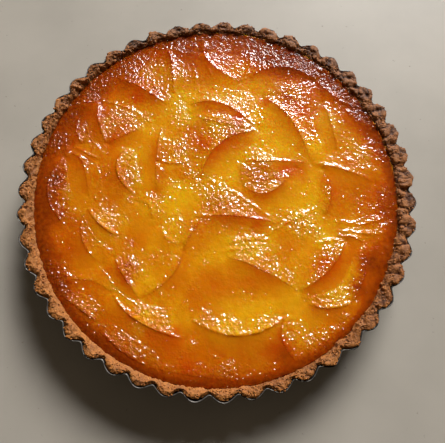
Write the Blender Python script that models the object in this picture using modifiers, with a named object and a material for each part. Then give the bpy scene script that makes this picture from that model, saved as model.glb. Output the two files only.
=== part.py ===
"""Glazed tart in a fluted pastry case, standing in its own fluted tin.

Frame: metres, +Z up, origin at the middle of the tin's underside, the viewer's side at -Y.
Three pieces sit inside one another and nothing moves: the tin, the crust and the filling.
"""
import math
from collections import namedtuple

import bmesh
import bpy
import numpy as np

MM = 0.001
COLLECTION = "bakewell_tart"
GAP = 0.35 * MM                  # clear space between pieces that touch in life

# Flutes, shared by the tin and the pastry pressed into it
FLUTES = 47
STEPS_PER_FLUTE = 6
FLUTE_DEPTH = 4.0 * MM
FLUTE_SHARPNESS = 0.25           # 0 is a knife-edged valley, 1 nearly a sine wave
FLUTE_PHASE = math.radians(-10.2)

# Tin
TIN_HEIGHT = 28.0 * MM
TIN_RIM_RADIUS = 125.0 * MM      # over the flute crests
TIN_BASE_RADIUS = 121.0 * MM
TIN_WALL = 0.6 * MM

# Crust: a case with a floor, a side wall and a lumpy top edge
CRUST_CLEARANCE = 1.2 * MM       # from the tin's outside to the pastry, measured along the radius
CRUST_THICKNESS = 4.5 * MM       # of the floor
CRUST_CREST_RISE = 1.3 * MM      # mean height of the crest over the tin's edge
CRUST_CREST_SWING = 0.5 * MM     # how much single lobes differ
CRUST_CREST_INSIDE = 118.0 * MM  # radii of the crest's two edges
CRUST_CREST_OUTSIDE = 121.9 * MM
CRUST_INNER_RADIUS = 115.4 * MM  # of the inside wall where it bends outwards to the crest
CRUST_INNER_FOOT = 110.8 * MM    # of the same wall at the floor
CRUST_BEND = 2.4 * MM            # the bend's depth under the tin's edge
SWAY_ONE = (1.6 * MM, math.radians(210))      # inside wall pushed off centre
SWAY_TWO = (1.4 * MM, math.radians(99))       # and slightly oval
LOBE_SEED = 11

# Filling: a disc whose surface is lifted and pinched along folds
DISC_RINGS = 23
FILLING_LEVEL = TIN_HEIGHT - 1.0 * MM         # of the flat surface
EDGE_DROP = 1.8 * MM             # how much lower it meets the crust
EDGE_WIDTH = 5.0 * MM
FOLD_FADE = 6.0 * MM             # folds die out this close to the crust
GRID_STEP = 2.0                  # the relief grid, in millimetres like the folds below
GRID_HALF = 122.0
FOLD_REACH = 22.0
RELAX_SWEEPS = 160
HOLLOW_PULL = 1.0

# Each fold runs from start to end through mid, its lifted side on the left.
# The crest is high above the flat, and the hollow on the right lies that deep, that far away.
Fold = namedtuple("Fold", "start mid end crest hollow away")
FOLDS = (
    # back left
    Fold((-70, 80), (-52, 71.5), (-35.5, 61), 1.7, 1.3, 5),
    Fold((-37, 105), (-32.5, 90), (-30, 68), 1.3, 0.7, 3),
    Fold((-80, 61.5), (-78.5, 47), (-72, 31), 1.7, 1.3, 5),
    Fold((-99, 59.5), (-88, 60.8), (-79, 60.5), 1.0, 0.9, 4),
    Fold((-72, 31), (-62, 37), (-49, 43.5), 0.9, 0.7, 4),
    Fold((-9.5, 110), (-7, 93), (14.5, 79), 1.2, 0.9, 4),
    # left
    Fold((-99, 21), (-87, 19), (-79.5, -6), 1.1, 0.9, 4),
    Fold((-98.5, 20), (-106, -3), (-92, -24.5), 1.3, 0.9, 4),
    Fold((-80, -13), (-70.5, -24), (-60, -30), 1.3, 0.7, 4),
    Fold((-58, 27), (-63.5, 12), (-51, -4), 1.2, 0.7, 4),
    Fold((-36, 44), (-38.5, 24), (-37, -2), 1.1, 1.0, 4),
    # back right
    Fold((-20, 60.5), (2, 61.5), (26.5, 43.5), 1.5, 1.4, 4),
    Fold((25.5, 43.5), (3, 46.5), (-19, 51.5), 1.2, 0.2, 3),
    Fold((-12, 8), (0, 32), (26, 43.3), 1.7, 1.4, 6),
    Fold((29, 67.3), (47.5, 51.5), (61, 21), 1.5, 1.3, 6),
    Fold((62, 79), (45, 72), (29, 67), 0.9, 0.4, 4),
    Fold((19.5, 81.5), (41, 91), (66, 81.5), 1.3, 1.6, 5),
    Fold((65, 80.5), (75, 71.5), (85, 62), 0.8, 0.8, 4),
    Fold((84.5, 59), (92.5, 52), (105, 41), 0.9, 1.1, 4),
    Fold((60, 20.5), (80, 16.5), (100, 8), 1.0, 0.9, 7),
    # middle
    Fold((14, 21), (35, 21.3), (60, 20.2), 0.7, 0.7, 3),
    Fold((17, 5), (32, 0), (49, 17), 1.4, 1.1, 6),
    Fold((-13, -17), (12, -16), (39, -20.5), 1.5, 1.4, 6),
    Fold((66, -14), (70.3, 0), (66, 15), 0.8, 1.0, 6),
    # front left
    Fold((-21, -40), (-15.5, -27), (-5, -13), 0.9, 0.8, 5),
    Fold((-43, -67), (-27, -54.5), (-21, -39), 1.0, 0.6, 4),
    Fold((-60, -44), (-53.5, -55), (-43, -68), 1.4, 1.2, 5),
    Fold((-82, -20), (-79.5, -36), (-67, -48), 0.8, 0.7, 4),
    Fold((-93, -61), (-76, -57), (-59, -65.5), 0.8, 0.9, 4),
    Fold((-60, -65), (-43, -81), (-16, -90), 1.4, 0.9, 5),
    # front right
    Fold((-13, -79), (16, -87.5), (44, -75), 1.4, 1.0, 5),
    Fold((43, -77), (40.5, -90), (50, -103), 1.0, 0.9, 4),
    Fold((7, -41.5), (27, -48.5), (50.5, -61.5), 1.3, 1.4, 6),
    Fold((50, -61), (67, -49), (78.5, -31), 1.5, 1.3, 6),
    Fold((79, -68), (88.5, -52), (90, -31), 0.9, 1.2, 5),
    Fold((55, -68), (68, -71), (83, -66), 1.0, 0.9, 5),
)


def clear_scene():
    for thing in list(bpy.data.objects):
        bpy.data.objects.remove(thing, do_unlink=True)


def part_collection():
    found = bpy.data.collections.new(COLLECTION)
    bpy.context.scene.collection.children.link(found)
    return found


def principled(name, color, roughness, metallic=0.0, coat=0.0):
    material = bpy.data.materials.new(name)
    material.use_nodes = True
    shader = material.node_tree.nodes["Principled BSDF"]
    shader.inputs["Base Color"].default_value = (*color, 1.0)
    shader.inputs["Roughness"].default_value = roughness
    shader.inputs["Metallic"].default_value = metallic
    shader.inputs["Coat Weight"].default_value = coat
    return material


def tin_material():
    return principled("dark_tin", (0.055, 0.052, 0.05), 0.42, metallic=0.9)


def crust_material():
    return principled("baked_pastry", (0.43, 0.2, 0.075), 0.85)


def filling_material():
    return principled("amber_glaze", (0.72, 0.27, 0.008), 0.22, coat=1.0)


def turned_mesh(name, rows):
    """Turn rows of (radius, height, flute share, sway share) about Z into a welded mesh."""
    profile = bpy.data.meshes.new(name)
    points = [(radius, 0, height) for radius, height, _, _ in rows]
    profile.from_pydata(points, [(i, i + 1) for i in range(len(points) - 1)], [])
    for column, label in ((2, "flute"), (3, "sway")):
        share = profile.attributes.new(label, "FLOAT", "POINT")
        share.data.foreach_set("value", [row[column] for row in rows])
    guide = bpy.data.objects.new(name + "_profile", profile)
    bpy.context.scene.collection.objects.link(guide)
    screw = guide.modifiers.new("turn", "SCREW")
    screw.axis = "Z"
    screw.steps = screw.render_steps = FLUTES * STEPS_PER_FLUTE
    screw.use_merge_vertices = True
    screw.merge_threshold = 0.01 * MM
    evaluated = guide.evaluated_get(bpy.context.evaluated_depsgraph_get())
    mesh = bpy.data.meshes.new_from_object(evaluated)
    bpy.data.objects.remove(guide, do_unlink=True)
    mesh.name = name
    return mesh


def flute_wave(angle):
    """1 on a flute's round crest, 0 in the tight valley between two."""
    wave = np.cos(FLUTES * angle / 2) ** 2
    sharp = FLUTE_SHARPNESS
    return (np.sqrt(wave + sharp ** 2) - sharp) / (math.sqrt(1 + sharp ** 2) - sharp)


def wall_sway(angle):
    """How far the case's inside wall leaves its circle: off centre and slightly oval."""
    shift, toward = SWAY_ONE
    oval, along = SWAY_TWO
    return shift * np.cos(angle - toward) + oval * np.cos(2 * (angle - along))


def inside_radius(angle, height):
    """The case's inside wall, which leans out from the floor to its bend."""
    low, high = crust_floor(), TIN_HEIGHT - CRUST_BEND
    climb = (height - low) / (high - low)
    return CRUST_INNER_FOOT + (CRUST_INNER_RADIUS - CRUST_INNER_FOOT) * climb + wall_sway(angle)


def flute_mesh(mesh, lobe_heights=None):
    """Press the flutes into a turned mesh, and let its inside wall and crest vary."""
    count = len(mesh.vertices)
    places = np.empty(count * 3)
    flute = np.empty(count)
    sway = np.empty(count)
    mesh.vertices.foreach_get("co", places)
    mesh.attributes["flute"].data.foreach_get("value", flute)
    mesh.attributes["sway"].data.foreach_get("value", sway)
    x, y, z = places.reshape(-1, 3).T
    radius = np.hypot(x, y)
    turn = np.arctan2(y, x)
    angle = turn + FLUTE_PHASE
    radius = radius - flute * FLUTE_DEPTH * (1 - flute_wave(turn))
    radius = radius + sway * wall_sway(angle)
    if lobe_heights is not None:
        on_crest = (flute > 0) & (flute < 1)
        lobe = turn / (2 * math.pi) * FLUTES
        swing = np.interp(lobe, np.arange(-FLUTES, FLUTES), np.tile(lobe_heights, 2))
        z = z + on_crest * swing
    moved = np.stack([radius * np.cos(angle), radius * np.sin(angle), z], axis=1)
    mesh.vertices.foreach_set("co", moved.ravel())
    mesh.update()


def add_piece(collection, name, mesh, material):
    piece = bpy.data.objects.new(name, mesh)
    collection.objects.link(piece)
    mesh.materials.clear()
    mesh.materials.append(material)
    return piece


def make_tin(collection):
    rows = (
        (TIN_RIM_RADIUS, TIN_HEIGHT, 1, 0),
        (TIN_BASE_RADIUS, 0, 1, 0),
        (0, 0, 0, 0),
    )
    mesh = turned_mesh("tin", rows)
    flute_mesh(mesh)
    mesh.shade_smooth()
    mesh.set_sharp_from_angle(angle=math.radians(40))
    tin = add_piece(collection, "tin", mesh, tin_material())
    wall = tin.modifiers.new("wall", "SOLIDIFY")
    wall.thickness = TIN_WALL
    wall.offset = -1
    wall.use_even_offset = True
    return tin


def make_crust(collection):
    underside = crust_underside()
    floor = crust_floor()
    draft = (TIN_RIM_RADIUS - TIN_BASE_RADIUS) / TIN_HEIGHT
    base_radius = TIN_BASE_RADIUS + draft * underside - CRUST_CLEARANCE
    edge_radius = TIN_RIM_RADIUS - CRUST_CLEARANCE
    rows = (
        (0, floor, 0, 0),
        (CRUST_INNER_FOOT, floor, 0, 1),
        (CRUST_INNER_RADIUS, TIN_HEIGHT - CRUST_BEND, 0, 1),
        (CRUST_CREST_INSIDE, TIN_HEIGHT + CRUST_CREST_RISE, 0.3, 0.7),
        (CRUST_CREST_OUTSIDE, TIN_HEIGHT + CRUST_CREST_RISE, 0.8, 0.2),
        (edge_radius, TIN_HEIGHT, 1, 0),
        (base_radius, underside, 1, 0),
        (0, underside, 0, 0),
    )
    mesh = turned_mesh("crust", rows)
    lobes = np.random.default_rng(LOBE_SEED).uniform(-1, 1, FLUTES) * CRUST_CREST_SWING
    flute_mesh(mesh, lobes)
    mesh.shade_smooth()
    mesh.set_sharp_from_angle(angle=math.radians(50))
    return add_piece(collection, "crust", mesh, crust_material())


def crust_underside():
    return TIN_WALL + GAP


def crust_floor():
    return crust_underside() + CRUST_THICKNESS


def fold_curve(fold, spacing):
    """Points along a fold, how far along each lies, and the direction of its lifted side."""
    start, mid, end = (np.array(point, float) for point in (fold.start, fold.mid, fold.end))
    pull = 2 * mid - (start + end) / 2
    count = int(np.linalg.norm(end - start) / spacing) + 8
    along = np.linspace(0, 1, count)
    near, far = (1 - along)[:, None], along[:, None]
    points = near ** 2 * start + 2 * near * far * pull + far ** 2 * end
    heading = near * (pull - start) + far * (end - pull)
    heading /= np.linalg.norm(heading, axis=1, keepdims=True)
    lifted = np.stack([-heading[:, 1], heading[:, 0]], axis=1)
    return along, points, lifted


def pinned_cells(points, values, size):
    """Mean value that the points give each grid cell, and which cells they touch."""
    cells = np.clip(np.round((points + GRID_HALF) / GRID_STEP).astype(int), 0, size - 1)
    total = np.zeros((size, size))
    hits = np.zeros((size, size))
    np.add.at(total, (cells[:, 1], cells[:, 0]), values)
    np.add.at(hits, (cells[:, 1], cells[:, 0]), 1)
    return total / np.maximum(hits, 1), hits > 0


def relief_grid():
    """A skin stretched over the crests and sucked into the hollows, relaxed until smooth."""
    size = int(2 * GRID_HALF / GRID_STEP) + 1
    crest_points, crest_heights, hollow_points, hollow_heights = [], [], [], []
    for fold in FOLDS:
        along, points, lifted = fold_curve(fold, GRID_STEP / 3)
        swell = np.sin(np.pi * along).clip(0, 1)
        crest_points.append(points)
        crest_heights.append(fold.crest * np.sqrt(swell))
        hollow_points.append(points - lifted * fold.away * (0.35 + 0.65 * swell)[:, None])
        hollow_heights.append(-fold.hollow * swell)
    crest, on_crest = pinned_cells(np.concatenate(crest_points), np.concatenate(crest_heights), size)
    hollow, in_hollow = pinned_cells(np.concatenate(hollow_points), np.concatenate(hollow_heights), size)
    pull = np.where(in_hollow, HOLLOW_PULL, 0.0)
    rest = (GRID_STEP / FOLD_REACH) ** 2
    height = np.zeros((size, size))
    for _ in range(RELAX_SWEEPS):
        around = np.zeros_like(height)
        around[1:-1, 1:-1] = height[:-2, 1:-1] + height[2:, 1:-1] + height[1:-1, :-2] + height[1:-1, 2:]
        height = (around + pull * hollow) / (4 + rest + pull)
        height[on_crest] = crest[on_crest]
    return height * MM


def read_grid(grid, x, y):
    """Bilinear reading of the relief grid at points given in metres."""
    column = (x / MM + GRID_HALF) / GRID_STEP
    row = (y / MM + GRID_HALF) / GRID_STEP
    j = np.clip(column.astype(int), 0, len(grid) - 2)
    i = np.clip(row.astype(int), 0, len(grid) - 2)
    right, up = column - j, row - i
    lower = grid[i, j] * (1 - right) + grid[i, j + 1] * right
    upper = grid[i + 1, j] * (1 - right) + grid[i + 1, j + 1] * right
    return lower * (1 - up) + upper * up


def filling_surface(x, y):
    """Height of the filling's top: flat in the middle, folded, and falling to the crust."""
    to_crust = inside_radius(np.arctan2(y, x), FILLING_LEVEL - EDGE_DROP) - np.hypot(x, y)
    flat = FILLING_LEVEL - EDGE_DROP * np.exp(-to_crust.clip(0) / EDGE_WIDTH)
    return flat + read_grid(relief_grid(), x, y) * (to_crust / FOLD_FADE).clip(0, 1)


def rounded_disc():
    """A fan of six triangles, divided evenly and pushed out from a hexagon to a circle."""
    disc = bmesh.new()
    bmesh.ops.create_circle(disc, cap_ends=True, cap_tris=True, segments=6, radius=1)
    corner = max(disc.verts, key=lambda vert: vert.co.length).co
    first = math.atan2(corner.y, corner.x)
    bmesh.ops.subdivide_edges(disc, edges=disc.edges[:], cuts=DISC_RINGS - 1, use_grid_fill=True)
    bmesh.ops.triangulate(disc, faces=disc.faces[:])
    sector = math.radians(60)
    for vert in disc.verts:
        angle = math.atan2(vert.co.y, vert.co.x)
        within = (angle - first) % sector - sector / 2
        vert.co *= math.cos(within) / math.cos(sector / 2)
    return disc


def make_filling(collection):
    disc = rounded_disc()
    places = np.array([vert.co for vert in disc.verts])
    angle = np.arctan2(places[:, 1], places[:, 0])
    reach = inside_radius(angle, FILLING_LEVEL - EDGE_DROP) - GAP
    x, y = places[:, 0] * reach, places[:, 1] * reach
    for vert, place in zip(disc.verts, zip(x, y, filling_surface(x, y))):
        vert.co = place
    rim = [edge for edge in disc.edges if edge.is_boundary]
    skirt = bmesh.ops.extrude_edge_only(disc, edges=rim)["geom"]
    bottom = crust_floor() + GAP
    for vert in (part for part in skirt if isinstance(part, bmesh.types.BMVert)):
        angle = math.atan2(vert.co.y, vert.co.x)
        foot = inside_radius(angle, bottom) - GAP
        vert.co = (foot * math.cos(angle), foot * math.sin(angle), bottom)
    lower_rim = [part for part in skirt if isinstance(part, bmesh.types.BMEdge) and part.is_boundary]
    bmesh.ops.contextual_create(disc, geom=lower_rim)
    bmesh.ops.recalc_face_normals(disc, faces=disc.faces[:])
    mesh = bpy.data.meshes.new("filling")
    disc.to_mesh(mesh)
    disc.free()
    mesh.shade_smooth()
    mesh.set_sharp_from_angle(angle=math.radians(50))
    return add_piece(collection, "filling", mesh, filling_material())


def main():
    clear_scene()
    collection = part_collection()
    make_tin(collection)
    make_crust(collection)
    make_filling(collection)


main()
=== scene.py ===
import math
import bmesh
import bpy
import numpy as np
from mathutils import Matrix, Vector


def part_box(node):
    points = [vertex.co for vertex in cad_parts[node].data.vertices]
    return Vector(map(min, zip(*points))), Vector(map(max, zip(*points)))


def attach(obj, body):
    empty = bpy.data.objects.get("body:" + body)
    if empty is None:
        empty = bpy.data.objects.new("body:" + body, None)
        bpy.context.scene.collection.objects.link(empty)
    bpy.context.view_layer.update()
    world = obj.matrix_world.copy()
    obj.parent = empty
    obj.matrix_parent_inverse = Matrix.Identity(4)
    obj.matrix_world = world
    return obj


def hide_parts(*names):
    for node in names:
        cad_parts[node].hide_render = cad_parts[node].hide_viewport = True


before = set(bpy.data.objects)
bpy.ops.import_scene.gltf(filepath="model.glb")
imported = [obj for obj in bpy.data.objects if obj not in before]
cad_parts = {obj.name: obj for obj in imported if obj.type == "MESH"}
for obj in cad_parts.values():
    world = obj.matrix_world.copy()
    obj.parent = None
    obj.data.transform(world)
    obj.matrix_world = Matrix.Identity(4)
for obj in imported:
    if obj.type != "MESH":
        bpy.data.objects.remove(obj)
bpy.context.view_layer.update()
mm = 0.001
crustBox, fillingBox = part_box("crust"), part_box("filling")
rimHeight = 28 * mm      # the tin's edge
print("frame loaded")


def scatterValue(ix, iy, iz, seed):      # one repeatable number from 0 to 1 for each lattice corner
    n = ix * 73856093 ^ iy * 19349663 ^ iz * 83492791 ^ seed * 2654435761
    n = (n ^ n >> 13) * 1274126177
    return ((n ^ n >> 16) & 0xffff) / 65535


def softNoise(points, size, seed=0):      # smooth bumps of that size, from -1 to 1
    spot = points / size
    corner = np.floor(spot).astype(np.int64)
    part = spot - corner
    part = part * part * (3 - 2 * part)
    total = np.zeros(len(points))
    for dx in (0, 1):
        for dy in (0, 1):
            for dz in (0, 1):
                offset = np.array((dx, dy, dz))
                weight = np.abs(1 - offset - part).prod(axis=1)
                total += weight * scatterValue(*(corner + offset).T, seed)
    return total * 2 - 1


def layeredNoise(points, size, layers, seed=0):
    total, strength = np.zeros(len(points)), 0
    for layer in range(layers):
        total += softNoise(points, size / 2 ** layer, seed + layer * 17) / 2 ** layer
        strength += 1 / 2 ** layer
    return total / strength


def cellNoise(points, size, seed=0):      # distance to the nearest grain's middle, in grain sizes
    spot = points / size
    home = np.floor(spot).astype(np.int64)
    nearest = np.full(len(points), 9.0)
    for dx in (-1, 0, 1):
        for dy in (-1, 0, 1):
            for dz in (-1, 0, 1):
                cell = home + (dx, dy, dz)
                gap = np.zeros(len(points))
                for axis in range(3):
                    middle = cell[:, axis] + scatterValue(*cell.T, seed + 31 * axis)
                    gap += (spot[:, axis] - middle) ** 2
                nearest = np.minimum(nearest, gap)
    return np.sqrt(nearest)


def smooth(value, low, high):
    t = np.clip((value - low) / (high - low), 0, 1)
    return t * t * (3 - 2 * t)


def readVectors(mesh, field):
    values = np.empty(len(mesh.vertices) * 3)
    mesh.vertices.foreach_get(field, values)
    return values.reshape(-1, 3)


def writePlaces(mesh, places):
    mesh.vertices.foreach_set("co", places.ravel())
    mesh.update()


def toPolar(places):
    return np.hypot(places[:, 0], places[:, 1]), np.arctan2(places[:, 1], places[:, 0]), places[:, 2]


def fromPolar(radius, angle, z):
    return np.stack([radius * np.cos(angle), radius * np.sin(angle), z], axis=1)


def paint(mesh, name, values):
    layer = mesh.attributes.new(name, "FLOAT", "POINT")
    layer.data.foreach_set("value", np.asarray(values, dtype=np.float32))


def finishMesh(bm, name):
    mesh = bpy.data.meshes.new(name)
    bm.to_mesh(mesh)
    bm.free()
    return mesh


def addPiece(name, mesh, material, node=None):
    piece = bpy.data.objects.new(name, mesh)
    bpy.context.scene.collection.objects.link(piece)
    mesh.materials.append(material)
    mesh.shade_smooth()
    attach(piece, "root")
    if node:
        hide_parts(node)
    return piece


def freshMaterial(name):
    material = bpy.data.materials.new(name)
    material.use_nodes = True
    tree = material.node_tree
    return material, tree, tree.nodes["Principled BSDF"]


def addNode(tree, kind, settings=None, **inputs):      # an input is named, or numbered as i0, i1
    node = tree.nodes.new(kind)
    for key, value in (settings or {}).items():
        setattr(node, key, value)
    for key, value in inputs.items():
        socket = node.inputs[int(key[1:])] if key[1:].isdigit() else node.inputs[key]
        if isinstance(value, bpy.types.NodeSocket):
            tree.links.new(value, socket)
        else:
            socket.default_value = value
    return node


def setInputs(shader, values):
    for name, value in values.items():
        shader.inputs[name].default_value = value


def readMask(tree, name):
    return addNode(tree, "ShaderNodeAttribute", {"attribute_name": name}).outputs["Fac"]


def noise(tree, spot, scale, detail=1.0):
    return addNode(tree, "ShaderNodeTexNoise", Vector=spot, Scale=scale, Detail=detail).outputs["Fac"]


def bump(tree, height, strength, distance):
    node = addNode(tree, "ShaderNodeBump", Strength=strength, Distance=distance, Height=height)
    return node.outputs["Normal"]


def objectSpot(tree):
    return addNode(tree, "ShaderNodeTexCoord").outputs["Object"]


def blendColors(tree, amount, first, second):
    settings = {"data_type": "RGBA", "clamp_factor": True}
    return addNode(tree, "ShaderNodeMix", settings, i0=amount, i6=first, i7=second).outputs[2]


def calc(tree, operation, first, second):
    return addNode(tree, "ShaderNodeMath", {"operation": operation}, i0=first, i1=second).outputs[0]


def times(tree, first, second):
    return calc(tree, "MULTIPLY", first, second)


def plus(tree, first, second):
    return calc(tree, "ADD", first, second)


def remap(tree, value, low, high, newLow=0.0, newHigh=1.0, kind="LINEAR"):
    node = addNode(tree, "ShaderNodeMapRange", {"interpolation_type": kind},
                   i0=value, i1=low, i2=high, i3=newLow, i4=newHigh)
    return node.outputs[0]


def startGroup(name, inputs, output):
    tree = bpy.data.node_groups.new(name, "ShaderNodeTree")
    for label, value in inputs.items():
        kind = "NodeSocketVector" if value is None else "NodeSocketFloat"
        socket = tree.interface.new_socket(name=label, in_out="INPUT", socket_type=kind)
        if value is not None:
            socket.default_value = value
    tree.interface.new_socket(name=output, in_out="OUTPUT", socket_type="NodeSocketFloat")
    return tree, tree.nodes.new("NodeGroupInput").outputs, tree.nodes.new("NodeGroupOutput").inputs


def useGroup(tree, name, **inputs):
    node = addNode(tree, "ShaderNodeGroup", {"node_tree": bpy.data.node_groups[name]}, **inputs)
    return node.outputs[0]


def buildMottle():      # cloudy variation between two noise levels
    inputs = {"Vector": None, "Scale": 100.0, "Low": 0.35, "High": 0.65}
    tree, given, result = startGroup("mottle", inputs, "Mask")
    cloud = noise(tree, given["Vector"], given["Scale"], 5.0)
    tree.links.new(remap(tree, cloud, given["Low"], given["High"]), result["Mask"])


beads = {
    "warp": 1.1 * mm,      # how far the cells are pushed out of line
    "edge": 0.62,          # a bead reaches this far from the middle of its cell
    "fade": 0.12,          # how softly beads come in as the cover rises
}


def addBeads(tree, spot, scale, cover):      # round bumps on the share of the cells that cover gives
    warp = addNode(tree, "ShaderNodeTexNoise", Vector=spot, Scale=scale, Detail=1.0).outputs["Color"]
    offset = addNode(tree, "ShaderNodeVectorMath", {"operation": "SCALE"}, i0=warp, Scale=beads["warp"])
    moved = addNode(tree, "ShaderNodeVectorMath", {"operation": "ADD"}, i0=spot, i1=offset.outputs[0])
    cells = addNode(tree, "ShaderNodeTexVoronoi", Vector=moved.outputs[0], Scale=scale)
    dome = remap(tree, cells.outputs["Distance"], beads["edge"], 0.0, kind="SMOOTHSTEP")
    chance = addNode(tree, "ShaderNodeSeparateColor", Color=cells.outputs["Color"]).outputs[0]
    shown = remap(tree, calc(tree, "SUBTRACT", cover, chance), 0.0, beads["fade"])
    return times(tree, dome, shown)


def buildPebbles():      # the same bumps as a group, for the pastry
    inputs = {"Vector": None, "Scale": 500.0, "Cover": 0.5}
    tree, given, result = startGroup("pebbles", inputs, "Height")
    tree.links.new(addBeads(tree, given["Vector"], given["Scale"], given["Cover"]), result["Height"])


buildMottle()
buildPebbles()


viewpoint = {"place": (0.0038, -0.0893, 0.2802), "tilt": 15.22, "roll": 1.25, "lens": 34.3}

studio = {
    "floorSize": 1.5,        # from its middle to each side
    "floorColor": (0.46, 0.430, 0.380, 1),
    "floorShade": 0.88,      # brightness of its darker clouds
    "speckColor": (0.17, 0.145, 0.115, 1),
    "speckStrength": 0.55,
    "lightPlace": (1.60, 4.36, 3.14),
    "softSize": (2.6, 2.0),  # this light shows in nothing glossy, and the glint light in nothing else
    "softPower": 450,
    "glintSize": (2.6, 1.9),
    "glintPower": 2300,
    "lightColor": (1.0, 0.97, 0.93),
    "ambient": 0.085,
    "ambientColor": (1.0, 0.80, 0.58, 1),
}


def addCamera():
    camera = bpy.data.objects.new("camera", bpy.data.cameras.new("camera"))
    bpy.context.scene.collection.objects.link(camera)
    camera.data.lens = viewpoint["lens"]
    camera.data.clip_start = 0.01
    turn = Matrix.Rotation(math.radians(viewpoint["tilt"]), 4, "X")
    roll = Matrix.Rotation(math.radians(viewpoint["roll"]), 4, "Z")
    camera.matrix_world = Matrix.Translation(viewpoint["place"]) @ turn @ roll
    bpy.context.scene.camera = camera


def addLight(name, size, power, isGlint):
    light = bpy.data.lights.new(name, "AREA")
    light.shape = "RECTANGLE"
    light.size, light.size_y = size
    light.energy = power
    light.color = studio["lightColor"]
    lamp = bpy.data.objects.new(name, light)
    lamp.location = studio["lightPlace"]
    lamp.rotation_euler = (-Vector(studio["lightPlace"])).to_track_quat("-Z", "Y").to_euler()
    lamp.visible_glossy = isGlint
    lamp.visible_diffuse = not isGlint
    bpy.context.scene.collection.objects.link(lamp)


def paleStone():
    material, tree, shader = freshMaterial("paleStone")
    spot = objectSpot(tree)
    base = studio["floorColor"]
    darker = tuple(studio["floorShade"] * c for c in base[:3]) + (1,)
    color = blendColors(tree, useGroup(tree, "mottle", Vector=spot, Scale=14.0), darker, base)
    specks = useGroup(tree, "mottle", Vector=spot, Scale=260.0, Low=0.69, High=0.76)
    specks = times(tree, specks, studio["speckStrength"])
    color = blendColors(tree, specks, color, studio["speckColor"])
    tree.links.new(color, shader.inputs["Base Color"])
    setInputs(shader, {"Roughness": 0.6, "Specular IOR Level": 0.1})
    return material


def addStudio():
    bm = bmesh.new()
    bmesh.ops.create_grid(bm, x_segments=1, y_segments=1, size=studio["floorSize"])
    mesh = finishMesh(bm, "floor")
    floor = bpy.data.objects.new("floor", mesh)
    bpy.context.scene.collection.objects.link(floor)
    mesh.materials.append(paleStone())
    addLight("softLight", studio["softSize"], studio["softPower"], isGlint=False)
    addLight("glintLight", studio["glintSize"], studio["glintPower"], isGlint=True)
    world = bpy.data.worlds.new("room")
    world.use_nodes = True
    light = {"Color": studio["ambientColor"], "Strength": studio["ambient"]}
    setInputs(world.node_tree.nodes["Background"], light)
    bpy.context.scene.world = world
    bpy.context.scene.view_settings.view_transform = "Standard"


addCamera()
addStudio()
print("camera, floor and lights placed")


filling = {
    "rings": 178,            # from the middle of the top to its edge
    "level": 27.0 * mm,
    "edgeDrop": 2.1 * mm,
    "edgeRaise": 2.9 * mm,   # how much less it drops where the pastry is full
    "edgeWidth": 6.5 * mm,
    "foldFade": 10.0 * mm,
    "overlap": 0.4 * mm,     # it reaches this far into the pastry, so that no gap shows
    "cell": 0.5,             # of the relief grid, in millimetres like the folds
    "half": 122.0,
    "split": 0.35,           # from a crest to either side of its step
    "stepReach": 17.0,       # how far each effect of a fold dies away, in mm
    "curlReach": 6.0,
    "slopeReach": 10.0,
    "beadReach": 3.0,
    "shadeReach": 13.0,
    "sideReach": 5.0,
    "lineReach": 0.6,
    "lean": 1.2,             # the folds lean this far over their low side
    "lift": 1.15,
    "sink": 0.45,
    "curl": 0.65,            # share of the lift that curls up only near the crest
    "bead": 0.28,            # height of a full bead along a crest
    "beadFrom": 0.8,         # it runs from just behind the crest to this far from it
    "beadTo": 2.6,
    "pebble": 0.10 * mm,     # height and size of the skin's pebbles
    "pebbleSize": 2.1 * mm,
    "wave": 0.10 * mm,
    "caramelFront": 5.0,     # width of the dark rim where it is palest, and where it is most baked, in mm
    "caramelBack": 17.5,
    "mostBaked": 110,        # direction, in degrees
}

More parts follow.
